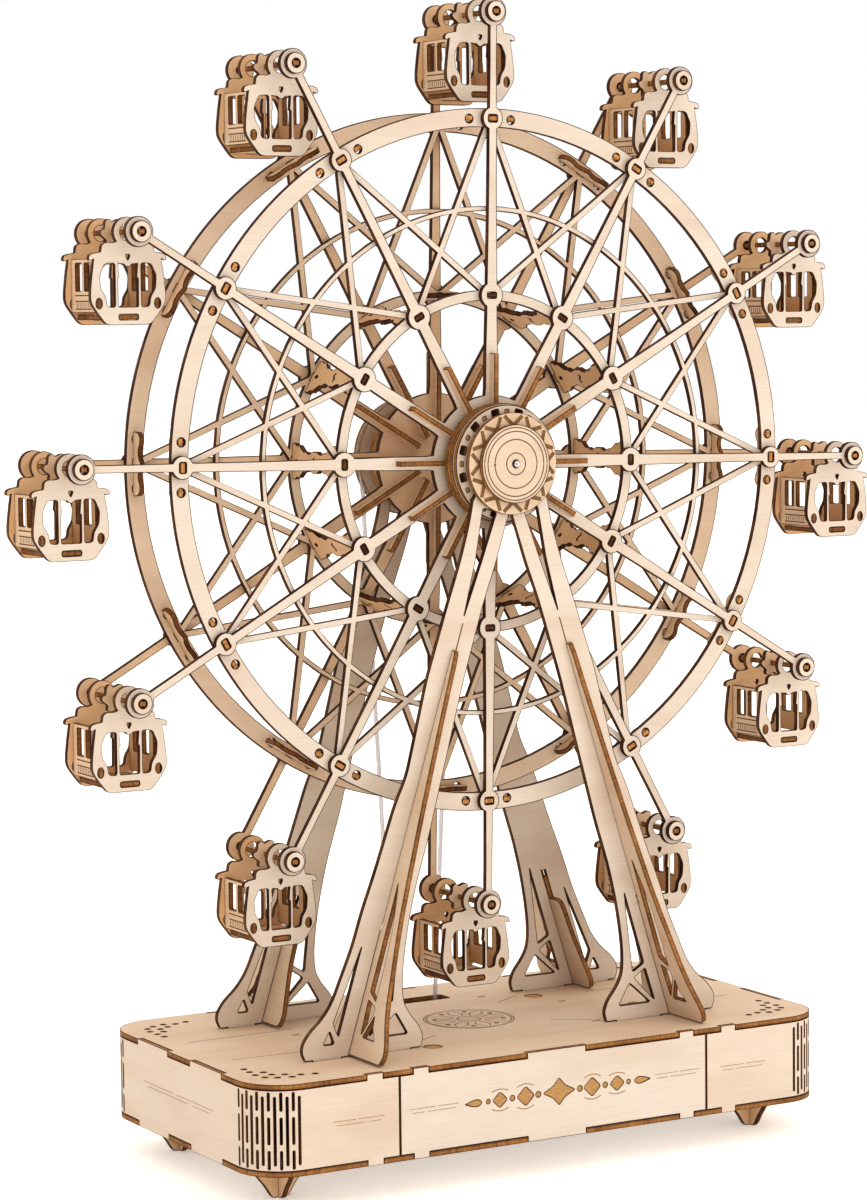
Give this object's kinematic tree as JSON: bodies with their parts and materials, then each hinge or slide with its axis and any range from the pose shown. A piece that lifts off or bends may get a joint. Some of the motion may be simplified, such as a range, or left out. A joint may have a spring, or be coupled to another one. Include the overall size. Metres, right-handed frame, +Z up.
{
  "type": "wooden music box",
  "caption": "Ferris-wheel music box of laser-cut plywood: a wheel with hanging cabins between two A-frames on a flat base box with a spring movement inside",
  "frame": {"origin": "centre of the box's footprint on the table, under the soles of the feet", "axes": "+X to the right along the base, +Y to the rear along the wheel's axle, +Z up"},
  "size_m": [0.3182, 0.1138, 0.3784],
  "materials": {
    "birch_plywood": "laser-cut birch plywood, bare pale faces with brown burnt edges",
    "steel": "plain ground steel",
    "brass": "bright stamped brass",
    "clear_band": "thin clear elastic band, slightly lilac"
  },
  "bodies": {
    "base": {"base_bottom_plate": "birch_plywood", "base_top_plate": "birch_plywood", "front_panel": "birch_plywood", "rear_panel": "birch_plywood", "left_end_wall": "birch_plywood", "right_end_wall": "birch_plywood", "foot_front_left": "birch_plywood", "foot_front_right": "birch_plywood", "foot_rear_left": "birch_plywood", "foot_rear_right": "birch_plywood", "front_a_frame": "birch_plywood", "rear_a_frame": "birch_plywood", "leg_fin_front_left": "birch_plywood", "leg_fin_front_right": "birch_plywood", "leg_fin_rear_left": "birch_plywood", "leg_fin_rear_right": "birch_plywood", "movement_bedplate": "brass", "movement_comb": "steel", "movement_spring_housing": "brass", "drive_belt": "clear_band"},
    "wheel": {"wheel_shaft": "steel", "front_lattice": "birch_plywood", "rear_lattice": "birch_plywood", "front_spokes": "birch_plywood", "rear_spokes": "birch_plywood", "front_hub_drum": "birch_plywood", "rear_hub_drum": "birch_plywood", "tie_01": "birch_plywood", "tie_02": "birch_plywood", "tie_03": "birch_plywood", "tie_04": "birch_plywood", "tie_05": "birch_plywood", "tie_06": "birch_plywood", "tie_07": "birch_plywood", "tie_08": "birch_plywood", "tie_09": "birch_plywood", "tie_10": "birch_plywood", "tie_11": "birch_plywood", "tie_12": "birch_plywood", "front_sunburst_disc": "birch_plywood", "front_hub_cap": "birch_plywood", "driven_pulley": "birch_plywood"},
    "hanging_cabin_01": {"cabin_01": "birch_plywood"},
    "hanging_cabin_02": {"cabin_02": "birch_plywood"},
    "hanging_cabin_03": {"cabin_03": "birch_plywood"},
    "hanging_cabin_04": {"cabin_04": "birch_plywood"},
    "hanging_cabin_05": {"cabin_05": "birch_plywood"},
    "hanging_cabin_06": {"cabin_06": "birch_plywood"},
    "hanging_cabin_07": {"cabin_07": "birch_plywood"},
    "hanging_cabin_08": {"cabin_08": "birch_plywood"},
    "hanging_cabin_09": {"cabin_09": "birch_plywood"},
    "hanging_cabin_10": {"cabin_10": "birch_plywood"},
    "hanging_cabin_11": {"cabin_11": "birch_plywood"},
    "hanging_cabin_12": {"cabin_12": "birch_plywood"},
    "cylinder": {"movement_cylinder": "brass", "output_pulley": "birch_plywood"},
    "governor": {"movement_governor": "brass"},
    "key": {"winding_key": "steel"}
  },
  "joints": [
    {"name": "wheel_spin", "type": "hinge", "parent": "base", "child": "wheel", "pos_m": [0, 0, 0.22793], "axis": [0, 1, 0], "continuous": true},
    {"name": "cabin_01_hang", "type": "hinge", "parent": "wheel", "child": "hanging_cabin_01", "pos_m": [0.14568, 0, 0.22539], "axis": [0, 1, 0], "continuous": true},
    {"name": "cabin_02_hang", "type": "hinge", "parent": "wheel", "child": "hanging_cabin_02", "pos_m": [0.12743, 0, 0.29857], "axis": [0, 1, 0], "continuous": true},
    {"name": "cabin_03_hang", "type": "hinge", "parent": "wheel", "child": "hanging_cabin_03", "pos_m": [0.07504, 0, 0.35282], "axis": [0, 1, 0], "continuous": true},
    {"name": "cabin_04_hang", "type": "hinge", "parent": "wheel", "child": "hanging_cabin_04", "pos_m": [0.00254, 0, 0.37361], "axis": [0, 1, 0], "continuous": true},
    {"name": "cabin_05_hang", "type": "hinge", "parent": "wheel", "child": "hanging_cabin_05", "pos_m": [-0.07064, 0, 0.35536], "axis": [0, 1, 0], "continuous": true},
    {"name": "cabin_06_hang", "type": "hinge", "parent": "wheel", "child": "hanging_cabin_06", "pos_m": [-0.12489, 0, 0.30297], "axis": [0, 1, 0], "continuous": true},
    {"name": "cabin_07_hang", "type": "hinge", "parent": "wheel", "child": "hanging_cabin_07", "pos_m": [-0.14568, 0, 0.23047], "axis": [0, 1, 0], "continuous": true},
    {"name": "cabin_08_hang", "type": "hinge", "parent": "wheel", "child": "hanging_cabin_08", "pos_m": [-0.12743, 0, 0.15729], "axis": [0, 1, 0], "continuous": true},
    {"name": "cabin_09_hang", "type": "hinge", "parent": "wheel", "child": "hanging_cabin_09", "pos_m": [-0.07504, 0, 0.10304], "axis": [0, 1, 0], "continuous": true},
    {"name": "cabin_10_hang", "type": "hinge", "parent": "wheel", "child": "hanging_cabin_10", "pos_m": [-0.00254, 0, 0.08225], "axis": [0, 1, 0], "continuous": true},
    {"name": "cabin_11_hang", "type": "hinge", "parent": "wheel", "child": "hanging_cabin_11", "pos_m": [0.07064, 0, 0.1005], "axis": [0, 1, 0], "continuous": true},
    {"name": "cabin_12_hang", "type": "hinge", "parent": "wheel", "child": "hanging_cabin_12", "pos_m": [0.12489, 0, 0.15289], "axis": [0, 1, 0], "continuous": true},
    {"name": "cylinder_spin", "type": "hinge", "parent": "base", "child": "cylinder", "pos_m": [0, 0, 0.0259], "axis": [0, 1, 0], "continuous": true},
    {"name": "governor_spin", "type": "hinge", "parent": "base", "child": "governor", "pos_m": [0.011, -0.004, 0.0153], "axis": [0, 0, 1], "continuous": true},
    {"name": "key_wind", "type": "hinge", "parent": "base", "child": "key", "pos_m": [0.019, 0.016, 0.0113], "axis": [0, 0, 1], "range_deg": [0, 1800]}
  ],
  "couplings": [
    {"joint": "cabin_01_hang", "follows": "wheel_spin", "ratio": -1},
    {"joint": "cabin_02_hang", "follows": "wheel_spin", "ratio": -1},
    {"joint": "cabin_03_hang", "follows": "wheel_spin", "ratio": -1},
    {"joint": "cabin_04_hang", "follows": "wheel_spin", "ratio": -1},
    {"joint": "cabin_05_hang", "follows": "wheel_spin", "ratio": -1},
    {"joint": "cabin_06_hang", "follows": "wheel_spin", "ratio": -1},
    {"joint": "cabin_07_hang", "follows": "wheel_spin", "ratio": -1},
    {"joint": "cabin_08_hang", "follows": "wheel_spin", "ratio": -1},
    {"joint": "cabin_09_hang", "follows": "wheel_spin", "ratio": -1},
    {"joint": "cabin_10_hang", "follows": "wheel_spin", "ratio": -1},
    {"joint": "cabin_11_hang", "follows": "wheel_spin", "ratio": -1},
    {"joint": "cabin_12_hang", "follows": "wheel_spin", "ratio": -1},
    {"joint": "cylinder_spin", "follows": "wheel_spin", "ratio": 2.3947},
    {"joint": "governor_spin", "follows": "wheel_spin", "ratio": 48}
  ]
}
